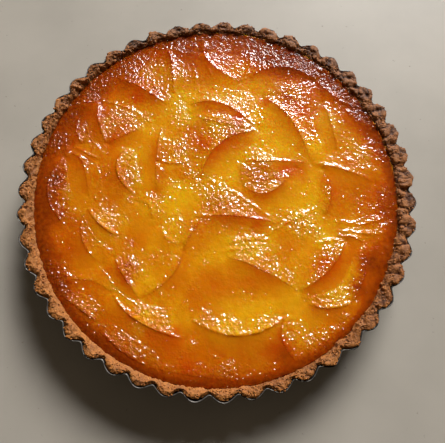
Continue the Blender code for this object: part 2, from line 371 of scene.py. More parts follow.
# start, middle and end of each fold, lifted side on the left, then the crest's height,
# the hollow's depth on its right, and how strongly the crest is beaded
folds = [
    # back left
    ((-70, 80), (-52, 71.5), (-35.5, 61), 1.7, 1.3, 0.3),
    ((-37, 105), (-32.5, 90), (-30, 68), 1.3, 0.3, 1.0),
    ((-80, 61.5), (-78.5, 47), (-72, 31), 1.7, 1.3, 0.3),
    ((-99, 59.5), (-88, 60.8), (-79, 60.5), 1.0, 0.9, 0),
    ((-72, 31), (-62, 37), (-49, 43.5), 0.9, 0.7, 0),
    ((-79, 61), (-62, 57.5), (-44, 46), 1.0, 0, 1.1),
    ((-92, 50), (-92.5, 40), (-88, 30), 0.8, 0.5, 0.8),
    ((-94, 28.5), (-85, 24), (-76, 19.5), 0.8, 0.3, 0.7),
    ((-9.5, 110), (-7, 93), (14.5, 79), 1.2, 0.9, 0.2),
    ((14.5, 79), (19, 88), (20.5, 108), 1.1, 0, 1.0),
    ((-36, 104), (-25, 100.5), (-11, 102), 0.8, 0.6, 0),
    ((-19, 92), (-16.5, 84), (-16, 75), 0.3, 0, 1.1),
    ((-11, 93), (-7, 86), (-4.5, 80), 0.3, 0, 0.7),
    # left
    ((-99, 21), (-87, 19), (-79.5, -6), 1.1, 0.9, 0.2),
    ((-98.5, 20), (-106, -3), (-92, -24.5), 1.3, 0.9, 0.7),
    ((-80, -13), (-70.5, -24), (-60, -30), 1.3, 0.4, 1.5),
    ((-58, 27), (-63.5, 12), (-51, -4), 1.2, 0.7, 1.4),
    ((-36, 44), (-38.5, 24), (-37, -2), 1.1, 1.0, 0),
    ((-38.5, 19.5), (-28, 18), (-17, 20.5), 0.6, 0.4, 0.5),
    ((-50, -8), (-42, -10), (-39, -20), 0.7, 0.2, 0.3),
    # back right
    ((-20, 60.5), (2, 61.5), (26.5, 43.5), 1.5, 1.4, 0.2),
    ((25.5, 43.5), (3, 46.5), (-19, 51.5), 1.2, 0.2, 1.0),
    ((-16, 52.3), (0, 51), (16, 49), 0.3, 0, 1.2),
    ((-12, 8), (0, 32), (26, 43.3), 1.7, 1.4, 0.2),
    ((29, 67.3), (47.5, 51.5), (61, 21), 1.5, 0.9, 0.2),
    ((62, 79), (45, 72), (29, 67), 0.9, 0.4, 0.3),
    ((19.5, 81.5), (41, 91), (66, 81.5), 1.3, 1.6, 0.3),
    ((65, 80.5), (75, 71.5), (85, 62), 0.8, 0.8, 0),
    ((84.5, 59), (92.5, 52), (105, 41), 0.9, 1.1, 0),
    ((70, 64), (75, 48), (78, 29), 0.9, 0.4, 0.6),
    ((88, 20), (94, 27), (98, 36), 0.4, 0, 0.9),
    ((60, 20.5), (80, 16.5), (100, 8), 1.0, 0.4, 0.6),
    # middle
    ((14, 21), (35, 21.3), (60, 20.2), 0.7, 0.4, 0.7),
    ((17, 5), (32, 0), (49, 17), 1.4, 1.1, 0),
    ((17, 22), (15.5, 12), (17, 3), 0.5, 0.1, 0),
    ((-13, -17), (12, -16), (39, -20.5), 1.5, 1.1, 0.1),
    ((-6, 7.5), (12, -2), (37, -19.5), 0.5, 0, 1.0),
    ((31, -28.5), (45, -19), (62, -10), 0.6, 0, 1.3),
    ((66, -14), (70.3, 0), (66, 15), 0.8, 1.0, 0),
    # front left
    ((-21, -40), (-15.5, -27), (-5, -13), 0.9, 0.5, 0),
    ((-43, -67), (-27, -54.5), (-21, -39), 1.0, 0.6, 0),
    ((-60, -44), (-53.5, -55), (-43, -68), 1.4, 1.6, 0.3),
    ((-82, -20), (-79.5, -36), (-67, -48), 0.8, 0.7, 0.4),
    ((-93, -61), (-76, -57), (-59, -65.5), 0.8, 0.9, 0.1),
    ((-60, -65), (-43, -81), (-16, -90), 1.4, 0.5, 2.0),
    ((-34, -24), (-29, -32), (-20, -35), 0.7, 0.2, 0.4),
    ((-101, -48), (-93, -54), (-76, -56.5), 0.4, 0, 1.2),
    ((-91, -66), (-80, -73.5), (-68, -81), 0.8, 0.5, 1.7),
    ((-66, -86), (-53, -97), (-37, -105.5), 0.8, 0.5, 1.7),
    ((-34, -106.5), (-8, -110), (20, -113), 0.7, 0.3, 0.3),
    # front right
    ((-13, -79), (16, -87.5), (44, -75), 1.4, 0.5, 1.8),
    ((43, -77), (40.5, -90), (50, -103), 1.0, 0.9, 0.3),
    ((7, -41.5), (27, -48.5), (50.5, -61.5), 1.3, 0.8, 0.2),
    ((50, -61), (67, -49), (78.5, -31), 1.5, 1.3, 0.1),
    ((59, -35), (67, -31), (79, -31), 0.3, 0, 1.5),
    ((79, -68), (88.5, -52), (90, -31), 0.9, 1.2, 0),
    ((74, -28), (83, -27.5), (91, -31.5), 0.9, 0.7, 0.3),
    ((55, -68), (68, -71), (83, -66), 1.0, 0.9, 1.2),
    ((72, -17), (88, -19.5), (104, -15), 0.3, 0, 1.2),
    ((72, -24), (92, -25.5), (110, -24), 0.4, 0, 1.3),
    ((3, -40), (15, -36.5), (30, -35), 0.3, 0, 1.3),
    ((8, -33), (20, -31), (33, -30.5), 0.3, 0, 1.3),
]

# patches of colour, of pebbled skin and of dry skin: middle and radius in millimetres, and strength
# browned patches; a few of them are painted shade on slopes turned away from the light
brownedAndShadedPatches = [
    # back left
    (-5, 92, 18, 0.2), (-28, 107, 10, 0.5), (-22, 90, 12, 0.2), (-34, 92, 5, 0.2), (-42, 68, 6, 0.3),
    (-64, 89, 13, 0.25), (-60, 80, 8, 0.1), (-60, 78, 8, 0.15), (-44, 66, 5, 0.2), (-62, 72, 10, 0.15),
    (-84, 70, 10, 0.15), (-82, 74, 10, 0.35), (-85, 62, 10, 0.2), (-68, 50, 11, 0.3), (-97, 62, 7, 0.2),
    (-95, 52, 12, 0.25), (-81, 52, 5, 0.25), (-104, 52, 9, 0.5), (-95, 40, 12, 0.25), (-92, 48, 8, 0.15),
    (-84, 40, 8, 0.15), (-108, 30, 8, 0.5), (-100, 28, 9, 0.25), (-85, 20, 10, 0.15), (-104, 12, 7, 0.3),
    (-85, 8, 10, 0.15), (-101, 5, 6, 0.5), (-88, 0, 8, 0.12), (-70, 6, 9, 0.2), (-56, 4, 6, 0.3),
    # back right
    (86, 0, 16, 0.25), (104, 0, 7, 0.3), (38, 8, 5, 0.2), (103, 46, 8, 0.7), (95, 58, 9, 0.5),
    (100, 60, 8, 0.4), (90, 66, 10, 0.35), (62, 60, 12, 0.2), (80, 76, 13, 0.5), (82, 84, 10, 0.4),
    (47, 60, 7, 0.3), (72, 84, 12, 0.4), (45, 68, 9, 0.3), (60, 92, 13, 0.6), (38, 70, 8, 0.1),
    (50, 95, 14, 0.4), (52, 97, 10, 0.3), (19, 43, 5, 0.3), (35, 99, 18, 0.6), (45, 105, 12, 0.4),
    (10, 40, 6, 0.3), (24, 100, 8, 0.3), (4, 39, 8, 0.2), (8, 68, 8, 0.1), (0, 110, 16, 0.3),
    # middle
    (5, -10, 9, 0.3), (28, 13, 9, 0.38),
    # front left
    (-108, -5, 9, 0.5), (-98, -15, 8, 0.35), (-72, -12, 8, 0.12), (-62, -10, 9, 0.15), (-105, -22, 9, 0.35),
    (-86, -25, 8, 0.3), (-104, -42, 7, 0.3), (-90, -42, 14, 0.2), (-88, -42, 12, 0.15), (-98, -58, 8, 0.3),
    (-94, -64, 8, 0.25), (-85, -62, 8, 0.2), (-55, -47, 6, 0.2), (-52, -49, 5, 0.25), (-52, -57, 4, 0.25),
    (-47, -52, 5, 0.2), (-62, -86, 11, 0.2), (-30, -96, 12, 0.2),
    # front right
    (0, -107, 14, 0.25), (20, -97, 16, 0.15), (20, -100, 10, 0.15), (40, -99, 9, 0.3), (40, -97, 7, 0.25),
    (60, -98, 10, 0.2), (86, -58, 6, 0.35), (87, -62, 7, 0.3), (72, -38, 6, 0.1), (96, -48, 9, 0.65),
    (92, -43, 6, 0.4), (100, -35, 8, 0.45), (104, -12, 8, 0.4),
]
yellowPatches = [
    # back left
    (-2, 62, 5, 0.4), (-27, 88, 5, 0.7), (-27, 82, 5, 0.4), (-38, 88, 7, 0.5), (-27, 60, 11, 0.9),
    (-20, 50, 7, 0.4), (-50, 86, 10, 0.3), (-48, 88, 12, 0.6), (-57, 60, 10, 0.45), (-45, 40, 8, 0.5),
    (-40, 32, 8, 0.4), (-89, 50, 6, 0.4), (-87, 47, 6, 0.5), (-72, 48, 5, 0.3), (-68, 44, 6, 0.4),
    (-48, 32, 9, 0.4), (-92, 38, 6, 0.3), (-88, 44, 6, 0.4), (-74, 38, 5, 0.4), (-49, 22, 7, 0.5),
    (-97, 10, 5, 0.4), (-45, 8, 8, 0.7), (-96, 6, 6, 0.5), (-96, 5, 6, 0.4), (-88, 6, 8, 0.4),
    (-55, 3, 6, 0.5),
    # back right
    (45, 2, 10, 0.5), (45, 0, 9, 0.3), (50, 0, 13, 1), (104, 15, 5, 0.4), (60, 10, 5, 0.3),
    (85, 30, 7, 0.4), (93, 26, 7, 0.5), (90, 42, 8, 0.35), (64, 32, 10, 0.6), (72, 50, 6, 0.6),
    (72, 53, 5, 0.4), (75, 55, 7, 0.5), (35, 28, 14, 0.9), (33, 34, 9, 0.3), (38, 42, 10, 0.3),
    (60, 60, 12, 0.1), (35, 45, 17, 1), (36, 45, 9, 0.3), (30, 50, 9, 0.3), (46, 74, 7, 0.5),
    (35, 76, 9, 0.7), (38, 80, 12, 0.6), (42, 76, 7, 0.4), (33, 97, 6, 0.5), (40, 92, 6, 0.4),
    (32, 98, 6, 0.5), (18, 85, 4, 0.5), (18, 87, 4, 0.4), (5, 43, 7, 0.7), (6, 105, 5, 0.4),
    (7, 104, 5, 0.5), (8, 72, 13, 0.6), (0, 47, 6, 0.6),
    # middle
    (-25, -5, 11, 1), (-25, -20, 8, 0.3), (4, -6, 6, 0.4), (28, 15, 5, 0.4), (3, 8, 11, 0.7),
    (5, 12, 9, 0.4), (8, 20, 9, 0.5), (-30, 18, 6, 0.3),
    # front left
    (-98, -12, 6, 0.5), (-95, -15, 8, 0.5), (-60, -8, 5, 0.2), (-70, -20, 6, 0.5), (-44, -12, 6, 0.4),
    (-55, -18, 9, 0.4), (-95, -50, 6, 0.4), (-72, -33, 6, 0.5), (-50, -48, 5, 0.4), (-43, -56, 9, 0.4),
    (-60, -92, 8, 0.3), (-35, -83, 7, 0.5), (-32, -78, 11, 0.8), (-28, -85, 5, 0.5), (-8, -47, 7, 0.4),
    (-2, -42, 9, 0.3),
    # front right
    (8, -88, 9, 0.4), (10, -67, 9, 0.6), (20, -77, 15, 1), (48, -92, 6, 0.5), (20, -33, 13, 0.8),
    (45, -65, 8, 0.7), (50, -76, 8, 0.4), (65, -85, 13, 0.4), (48, -45, 11, 0.3), (70, -64, 8, 0.4),
    (75, -60, 11, 0.7), (76, -52, 6, 0.4), (80, -55, 8, 0.5), (65, -32, 8, 0.6), (83, -50, 7, 0.7),
    (58, -15, 10, 0.5), (99, -25, 6, 0.4), (45, -6, 8, 0.3), (50, -3, 9, 0.4),
]
# deeper orange of thick glaze, and painted shade on slopes turned away from the light
deepPatches = [
    # back left
    (-5, 86, 10, 0.6), (-5, 100, 6, 0.5), (-8, 58, 5, 0.7), (-33, 85, 4, 0.5), (-14, 40, 8, 0.5),
    (-52, 74, 6, 0.5), (-44, 62, 5, 0.5), (-56, 65, 9, 0.7), (-54, 64, 7, 0.4), (-85, 65, 6, 0.5),
    (-81, 55, 6, 0.9), (-60, 41, 7, 0.4), (-36, 28, 6, 0.4), (-65, 36, 7, 0.3), (-36, 20, 6, 0.4),
    (-70, 32, 8, 0.4), (-70, 31, 8, 0.3), (-36, 13, 5, 0.4), (-36, 8, 5, 0.4),
    # back right
    (56, 8, 5, 0.3), (69, 8, 6, 0.5), (92, 8, 8, 0.3), (86, 20, 6, 0.4), (44, 14, 9, 0.9), (54, 16, 6, 0.4),
    (80, 23, 8, 0.3), (62, 42, 6, 0.6), (50, 42, 7, 0.4), (60, 55, 7, 0.5), (50, 55, 6, 0.5),
    (56, 61, 8, 0.5), (60, 71, 7, 0.6), (58, 83, 6, 0.6), (30, 63, 5, 0.5), (32, 62, 6, 0.4),
    (45, 83, 9, 0.8), (12, 51, 5, 0.7), (14, 51, 6, 0.5), (22, 84, 6, 0.5), (12, 80, 8, 0.5),
    (2, 56, 6, 0.8),
    # middle
    (-10, -26, 8, 0.4), (22, -23, 7, 0.5), (25, -18, 6, 0.4), (17, 14, 5, 0.5), (-8, 31, 6, 0.5),
    (-12, 30, 7, 0.4),
    # front left
    (-38, -2, 7, 0.5), (-62, -6, 9, 0.3), (-80, -32, 8, 0.4), (-52, -17, 7, 0.4), (-90, -42, 9, 0.4),
    (-62, -40, 7, 0.3), (-88, -64, 8, 0.4), (-70, -56, 7, 0.3), (-50, -35, 8, 0.5), (-62, -52, 6, 0.6),
    (-52, -58, 5, 0.6), (-60, -84, 8, 0.3), (-38, -88, 6, 0.4), (-36, -89, 6, 0.4), (-30, -74, 7, 0.4),
    (-24, -92, 10, 0.5), (-24, -93, 9, 0.4), (-15, -108, 8, 0.5), (-12, -70, 8, 0.4), (-12, -108, 8, 0.5),
    (-6, -52, 9, 0.3),
    # front right
    (0, -63, 10, 0.4), (12, -60, 11, 0.5), (30, -96, 9, 0.4), (24, -60, 8, 0.4), (40, -97, 7, 0.5),
    (40, -98, 9, 0.5), (45, -36, 7, 0.4), (63, -53, 6, 0.4), (30, -22, 7, 0.3), (65, -46, 6, 0.4),
    (68, -44, 6, 0.5), (88, -48, 5, 0.5), (88, -5, 12, 0.3),
]
pebbledPatches = [
    # back left
    (-40, 104, 10, 0.5), (-26, 86, 8, 0.8), (-42, 82, 9, 0.8), (-26, 56, 12, 0.5), (-50, 85, 15, 1),
    (-50, 84, 11, 0.6), (-66, 100, 9, 0.5), (-60, 88, 9, 0.6), (-25, 27, 9, 0.7), (-84, 78, 8, 0.5),
    (-92, 64, 9, 1), (-66, 50, 13, 1), (-60, 48, 8, 0.6), (-100, 47, 8, 0.7), (-104, 32, 8, 1),
    (-90, 35, 7, 0.7), (-78, 30, 7, 0.5), (-56, 20, 6, 0.5), (-58, 8, 8, 0.8), (-100, 2, 8, 0.6),
    (-60, 0, 6, 0.5),
    # back right
    (92, 28, 12, 0.7), (60, 40, 10, 0.3), (86, 66, 12, 0.6), (48, 66, 13, 0.6), (66, 88, 14, 0.6),
    (40, 99, 20, 0.65), (14, 44, 6, 0.8), (20, 62, 10, 0.3), (17, 95, 7, 0.6), (2, 43, 11, 1),
    (0, 46, 7, 0.8),
    # middle
    (3, -8, 11, 0.9), (28, 11, 11, 1), (28, 13, 8, 0.4), (-20, 8, 9, 0.4), (-15, 5, 8, 0.4),
    # front left
    (-98, -15, 8, 0.5), (-40, -5, 8, 0.5), (-106, -28, 8, 0.5), (-68, -22, 9, 0.8), (-98, -52, 7, 0.5),
    (-95, -60, 12, 0.5), (-94, -68, 6, 0.7), (-80, -74, 10, 0.8), (-52, -49, 6, 1), (-72, -78, 6, 0.6),
    (-52, -97, 10, 0.8), (-45, -101, 7, 0.7), (-41, -79, 5, 0.9), (-37, -81, 12, 0.7), (-30, -83, 5, 0.9),
    (-14, -62, 4, 0.8), (-12, -94, 4, 1), (-4, -41, 5, 0.7), (-2, -80, 6, 0.9),
    # front right
    (10, -108, 6, 0.7), (12, -84, 5, 0.8), (28, -82, 5, 0.8), (20, -35, 14, 0.7), (45, -80, 6, 0.6),
    (60, -88, 8, 0.4), (68, -66, 11, 0.8), (75, -80, 10, 0.5), (72, -37, 6, 0.7), (48, -18, 11, 0.7),
    (56, -22, 8, 0.6), (92, -25, 14, 0.7), (88, -6, 12, 0.4), (104, -8, 9, 0.4),
]
dryPatches = [
    # back right
    (60, 5, 8, 0.4), (70, 17, 10, 0.55), (88, 16, 8, 0.4), (78, 45, 12, 0.3), (100, 52, 12, 0.5),
    (35, 22, 6, 0.2), (92, 64, 9, 0.3), (58, 46, 8, 0.4), (85, 75, 16, 0.6), (76, 82, 12, 0.35),
    (47, 58, 9, 0.55), (55, 97, 17, 0.75), (40, 106, 10, 0.5), (20, 66, 8, 0.4), (4, 96, 10, 0.3),
    (8, 71, 12, 0.55), (0, 88, 14, 0.3),
]


inside = {      # the crust's inside wall, from its floor to just under the rim, and its directions
    "floor": 5.45 * mm,
    "height": 20.15 * mm,
    "foot": 110.8,       # radius in mm
    "flare": 4.6,
    "offCentre": 1.6 * mm,
    "offTo": 210,        # in degrees, like the two below
    "oval": 1.4 * mm,
    "ovalTo": 99,
    "fullTo": 45,
}


def towards(angle, degrees):
    return np.cos(angle - math.radians(degrees))


def fullness(angle):      # 1 where the pastry is fullest and darkest, 0 opposite
    return 0.5 + 0.5 * towards(angle, inside["fullTo"])


def wallSway(angle):
    oval = inside["oval"] * np.cos(2 * (angle - math.radians(inside["ovalTo"])))
    return inside["offCentre"] * towards(angle, inside["offTo"]) + oval


def insideRadius(angle, height):
    climb = (height - inside["floor"]) / inside["height"]
    return (inside["foot"] + inside["flare"] * climb) * mm + wallSway(angle)


def foldCurve(fold, spacing):
    start, middle, end = (np.array(point, float) for point in fold[:3])
    pull = 2 * middle - (start + end) / 2
    along = np.linspace(0, 1, int(np.linalg.norm(end - start) * 1.3 / spacing) + 8)
    near, far = (1 - along)[:, None], along[:, None]
    points = near ** 2 * start + 2 * near * far * pull + far ** 2 * end
    heading = near * (pull - start) + far * (end - pull)
    heading /= np.linalg.norm(heading, axis=1, keepdims=True)
    lifted = np.stack([-heading[:, 1], heading[:, 0]], axis=1)
    return points - lifted * filling["lean"], lifted, np.sin(np.pi * along).clip(0, 1)


def pinCells(pins, cell):      # pins are (points, values); gives each touched grid cell its mean value
    size = int(2 * filling["half"] / cell) + 1
    points = np.concatenate([pin[0] for pin in pins])
    values = np.concatenate([pin[1] for pin in pins])
    spot = np.clip(np.round((points + filling["half"]) / cell).astype(int), 0, size - 1)
    total, hits = np.zeros((size, size)), np.zeros((size, size))
    np.add.at(total, (spot[:, 1], spot[:, 0]), values)
    np.add.at(hits, (spot[:, 1], spot[:, 0]), 1)
    return total / np.maximum(hits, 1), hits > 0


def readGrid(grid, x, y):      # x and y in millimetres
    step = 2 * filling["half"] / (len(grid) - 1)
    column, row = (x + filling["half"]) / step, (y + filling["half"]) / step
    j = np.clip(column.astype(int), 0, len(grid) - 2)
    i = np.clip(row.astype(int), 0, len(grid) - 2)
    right, up = column - j, row - i
    lower = grid[i, j] * (1 - right) + grid[i, j + 1] * right
    upper = grid[i + 1, j] * (1 - right) + grid[i + 1, j + 1] * right
    return lower * (1 - up) + upper * up


def stretchSkin(makePins, reach, sweeps=120, blur=0):      # relaxes a skin over pins, coarse grid to fine
    skin = None
    for cell in (filling["cell"] * k for k in (8, 4, 2, 1)):
        pinned, isPinned = pinCells(makePins(cell), cell)
        axis = np.linspace(-filling["half"], filling["half"], len(pinned))
        skin = np.zeros_like(pinned) if skin is None else readGrid(skin, *np.meshgrid(axis, axis))
        rest = (cell / reach) ** 2
        for _ in range(sweeps):
            around = np.zeros_like(skin)
            around[1:-1, 1:-1] = skin[:-2, 1:-1] + skin[2:, 1:-1] + skin[1:-1, :-2] + skin[1:-1, 2:]
            skin = around / (4 + rest)
            skin[isPinned] = pinned[isPinned]
    for _ in range(blur):
        around = skin[:-2, 1:-1] + skin[2:, 1:-1] + skin[1:-1, :-2] + skin[1:-1, 2:]
        skin[1:-1, 1:-1] = 0.5 * skin[1:-1, 1:-1] + 0.125 * around
    return skin


def foldLines(cell):
    for fold in folds:
        points, lifted, swell = foldCurve(fold, cell / 3)
        yield fold[3:], points, lifted, swell


def sidePlaces(points, lifted, offset):
    return points + lifted * offset, points - lifted * offset


def reliefPins(cell, share):      # share turns a fold's top and bottom into the heights of its two sides
    firm = []
    for (crest, hollow, _), points, lifted, swell in foldLines(cell):
        if hollow:
            top, bottom = filling["lift"] * crest * np.sqrt(swell), -filling["sink"] * hollow * swell
            firm += zip(sidePlaces(points, lifted, filling["split"]), share(top, bottom))
    return firm


def stepPins(cell):      # the lifted side stands high and the low side deep, with a sheer step between
    return reliefPins(cell, lambda top, bottom: ((1 - filling["curl"]) * top, bottom))


def curlPins(cell):      # curls the lifted edge up
    return reliefPins(cell, lambda top, bottom: (filling["curl"] * top, 0 * top))


def slopePins(cell):      # fills the low side, so that it falls away in a curve
    return reliefPins(cell, lambda top, bottom: (0 * top, top - bottom))


def beadPins(cell):      # a narrow swelling along some crests
    firm = []
    for (_, _, beaded), points, lifted, swell in foldLines(cell):
        high, low = sidePlaces(points, lifted, filling["beadFrom"])
        far = points + lifted * filling["beadTo"]
        firm += [(high, filling["bead"] * beaded * np.sqrt(swell)), (low, 0 * swell), (far, 0 * swell)]
    return firm


def nearPins(cell):      # how strongly the colour changes at a crest: painted shade on its low side, browning on its lifted side
    return [(points, min(1, hollow * 0.8) * swell ** 0.7)
            for (_, hollow, _), points, _, swell in foldLines(cell)]


def sidePins(cell):      # 1 on the lifted side and -1 on the low side of each crest
    firm = []
    for (_, hollow, _), points, lifted, swell in foldLines(cell):
        strength = np.sqrt(swell) * (1 if hollow else 0)
        firm += zip(sidePlaces(points, lifted, 1.0), (strength, -strength))
    return firm


def linePins(cell):      # the thin crease at each crest that has a hollow
    return [(points, min(1, crest) * np.sqrt(swell) * (1 if hollow else 0))
            for (crest, hollow, _), points, _, swell in foldLines(cell)]


def patchMask(patches, x, y):
    total = np.zeros_like(x)
    for px, py, radius, strength in patches:
        total += strength * np.exp(-((x - px) ** 2 + (y - py) ** 2) / radius ** 2)
    return total.clip(0, 1)


def roundDisc(rings):      # six triangles, divided evenly and pushed out from a hexagon to a circle
    bm = bmesh.new()
    bmesh.ops.create_circle(bm, cap_ends=True, cap_tris=True, segments=6, radius=1)
    corner = max(bm.verts, key=lambda v: v.co.length).co
    first = math.atan2(corner.y, corner.x)
    bmesh.ops.subdivide_edges(bm, edges=bm.edges[:], cuts=rings - 1, use_grid_fill=True)
    bmesh.ops.triangulate(bm, faces=bm.faces[:])
    rim = [e for e in bm.edges if e.is_boundary]
    skirt = bmesh.ops.extrude_edge_only(bm, edges=rim)["geom"]
    lower = [e for e in skirt if isinstance(e, bmesh.types.BMEdge) and e.is_boundary]
    for vert in (v for v in skirt if isinstance(v, bmesh.types.BMVert)):
        vert.co.z = -1
    bmesh.ops.contextual_create(bm, geom=lower)
    bmesh.ops.recalc_face_normals(bm, faces=bm.faces[:])
    mesh = finishMesh(bm, "filling")
    places = readVectors(mesh, "co")
    angle = np.arctan2(places[:, 1], places[:, 0])
    within = (angle - first) % math.radians(60) - math.radians(30)
    places[:, :2] *= (np.cos(within) / math.cos(math.radians(30)))[:, None]
    return mesh, places


glaze = {
    "orange": (0.74, 0.225, 0.0008, 1),
    "yellow": (0.92, 0.475, 0.0060, 1),
    # deeper orange of thick glaze, and painted shade on the low side of each crest
    "deep": (0.66, 0.095, 0.0004, 1),
    "amber": (0.56, 0.095, 0.0006, 1),
    "brown": (0.17, 0.021, 0.0012, 1),
    "crease": (0.38, 0.042, 0.0006, 1),
    "creaseStrength": 0.5,
    "sideBlend": 0.12,       # half the width of the change from the lifted side's colour to the low side's painted shade
    "driftScale": 55.0,      # clouds that make it yellower or less yellow by up to drift
    "drift": 0.3,
    "fleckScale": 380.0,
    "fleckLow": 0.8,         # the flecks vary the browning between these
    "fleckHigh": 1.05,
    "lipBrown": 0.22,        # extra browning along the lifted edges
    "amberTo": 0.55,         # browning and painted shade where it is fully amber, and where it starts to turn brown
    "brownFrom": 0.4,
    "crinkleScale": 460.0,
    "crinkleHeight": 1.45,   # the wrinkles, beads and ripples of the skin are this high, in mm
    "beadScale": 450.0,
    "beadHeight": 0.33,
    "fewBeads": 0.07,        # share of the cells that hold a bead on smooth and on pebbled skin
    "manyBeads": 0.8,
    "rippleScale": 110.0,
    "rippleHeight": 0.5,
    "crinkleTint": 0.15,     # how much redder the wrinkles' troughs are
    "troughFrom": 0.58,      # noise levels where a trough starts and is fully tinted
    "troughTo": 0.36,
    "calm": 0.10,            # share of the wrinkles left where the skin is smoothest
    "skinShare": 0.5,        # share of the relief that shades the filling under its shine
    "roughness": 0.45,
    "coatRoughness": 0.14,
    "wetScale": 720.0,       # the skin is wet in fine spots and drier between them
    "wetFrom": 0.46,         # noise levels where a spot starts to be wet and is fully wet
    "wetTo": 0.58,
    "wetPebbles": 0.05,
    "dryCoat": 0.15,
    "brownCoat": 0.6,        # share of the shine left where it is fully browned
    "dullFrom": 0.3,         # browning and painted shade where the shine starts to fade
    "subsurface": 0.7,
    "depth": (0.0060, 0.0028, 0.0005),   # how far red, green and blue light spreads inside
}


def glazeColor(tree, spot, brownedAndShade, pebbled, crinkle):
    side, near = readMask(tree, "side"), readMask(tree, "near")
    lowSide = remap(tree, side, glaze["sideBlend"], -glaze["sideBlend"], kind="SMOOTHSTEP")
    highSide = calc(tree, "SUBTRACT", 1.0, lowSide)
    clouds = useGroup(tree, "mottle", Vector=spot, Scale=glaze["driftScale"], Low=0.3, High=0.7)
    drift = remap(tree, clouds, 0, 1, -glaze["drift"], glaze["drift"])
    fleck = useGroup(tree, "mottle", Vector=spot, Scale=glaze["fleckScale"], Low=0.35, High=0.68)
    yellowness = plus(tree, readMask(tree, "yellow"), drift)
    color = blendColors(tree, yellowness, glaze["orange"], glaze["yellow"])
    # painted shade on the low side of each crest, plus the deeper orange and painted shade of the listed
    # patches
    shaded = calc(tree, "MAXIMUM", times(tree, near, lowSide), readMask(tree, "deep"))
    color = blendColors(tree, shaded, color, glaze["deep"])
    lip = times(tree, times(tree, near, highSide), fleck)
    # browning, which also carries the painted shade of a few patches
    browningAndShade = times(tree, brownedAndShade, remap(tree, fleck, 0, 1, glaze["fleckLow"], glaze["fleckHigh"]))
    browningAndShade = plus(tree, browningAndShade, times(tree, lip, glaze["lipBrown"]))
    color = blendColors(tree, remap(tree, browningAndShade, 0.0, glaze["amberTo"]), color, glaze["amber"])
    color = blendColors(tree, remap(tree, browningAndShade, glaze["brownFrom"], 1.0), color, glaze["brown"])
    crease = times(tree, readMask(tree, "line"), glaze["creaseStrength"])
    color = blendColors(tree, crease, color, glaze["crease"])
    trough = remap(tree, crinkle, glaze["troughFrom"], glaze["troughTo"], 0.0, glaze["crinkleTint"])
    return blendColors(tree, times(tree, trough, pebbled), color, glaze["amber"])


def glazeWetness(tree, spot, brownedAndShade, pebbled):      # fine wet spots, fewer on dry and brown skin
    wet = noise(tree, spot, glaze["wetScale"])
    wet = plus(tree, wet, times(tree, pebbled, glaze["wetPebbles"]))
    wet = remap(tree, wet, glaze["wetFrom"], glaze["wetTo"], glaze["dryCoat"], 1.0)
    wet = times(tree, wet, calc(tree, "SUBTRACT", 1.0, readMask(tree, "dry")))
    return times(tree, wet, remap(tree, brownedAndShade, glaze["dullFrom"], 1, 1, glaze["brownCoat"]))


def glazeMaterial():
    material, tree, shader = freshMaterial("amberGlaze")
    spot = objectSpot(tree)
    brownedAndShade, pebbled = readMask(tree, "brownedAndShade"), readMask(tree, "pebbled")
    crinkle = noise(tree, spot, glaze["crinkleScale"], 1.2)
    ripple = noise(tree, spot, glaze["rippleScale"])
    tree.links.new(glazeColor(tree, spot, brownedAndShade, pebbled, crinkle), shader.inputs["Base Color"])
    tree.links.new(glazeWetness(tree, spot, brownedAndShade, pebbled), shader.inputs["Coat Weight"])
    cover = remap(tree, pebbled, 0, 1, glaze["fewBeads"], glaze["manyBeads"])
    beaded = addBeads(tree, spot, glaze["beadScale"], cover)
    wrinkled = times(tree, plus(tree, pebbled, glaze["calm"]), glaze["crinkleHeight"])
    height = times(tree, crinkle, wrinkled)
    height = plus(tree, height, times(tree, ripple, glaze["rippleHeight"]))
    tree.links.new(bump(tree, height, glaze["skinShare"], mm), shader.inputs["Normal"])
    height = plus(tree, height, times(tree, beaded, glaze["beadHeight"]))
    height = times(tree, height, readMask(tree, "coarse"))
    tree.links.new(bump(tree, height, 1.0, mm), shader.inputs["Coat Normal"])
    setInputs(shader, {
        "Roughness": glaze["roughness"],
        "Specular IOR Level": 0.0,
        "Coat Roughness": glaze["coatRoughness"],
        "Subsurface Weight": glaze["subsurface"],
        "Subsurface Radius": glaze["depth"],
        "Subsurface Scale": 1.0,
    })
    return material


def caramelRim(flat, angle, toCrust):      # 1 at the crust, and reaching in furthest where it is most baked
    baked = 0.5 + 0.5 * towards(angle, filling["mostBaked"])
    width = filling["caramelFront"] + (filling["caramelBack"] - filling["caramelFront"]) * baked
    width *= 1 + 0.4 * layeredNoise(flat, 18 * mm, 2, seed=40)
    return np.exp(-(toCrust / mm / width) ** 1.6)


pebbles = {      # how much each thing adds to the pebbled look of the skin
    "everywhere": 0.10,
    "patches": 0.75,
    "brownedAndShade": 0.15,
    "nearRim": 0.7,
    "beads": 0.35,
    "lifted": 0.35,
    "swirl": 0.35,
    "caramelCalm": 0.35,     # and how much the caramel rim and the low side of a fold take away
    "lowCalm": 0.9,
}


def pebbledSkin(flat, patches, brownedAndShade, caramel, toCrust, bead, near, side):
    swirl = layeredNoise(flat, 9 * mm, 3, seed=3)
    nearRim = np.exp(-((toCrust / mm - 6) / 4) ** 2) * np.abs(softNoise(flat, 7 * mm, seed=33))
    pebbled = pebbles["everywhere"] + pebbles["patches"] * patches + pebbles["brownedAndShade"] * brownedAndShade
    pebbled += pebbles["nearRim"] * nearRim + pebbles["beads"] * bead / filling["bead"]
    pebbled += pebbles["lifted"] * near * (side > 0) + pebbles["swirl"] * swirl
    pebbled = pebbled.clip(0, 1.2) ** 1.3 * (1 - pebbles["caramelCalm"] * caramel)
    return pebbled * (1 - pebbles["lowCalm"] * np.sqrt((near * (side < 0)).clip(0, 1)))


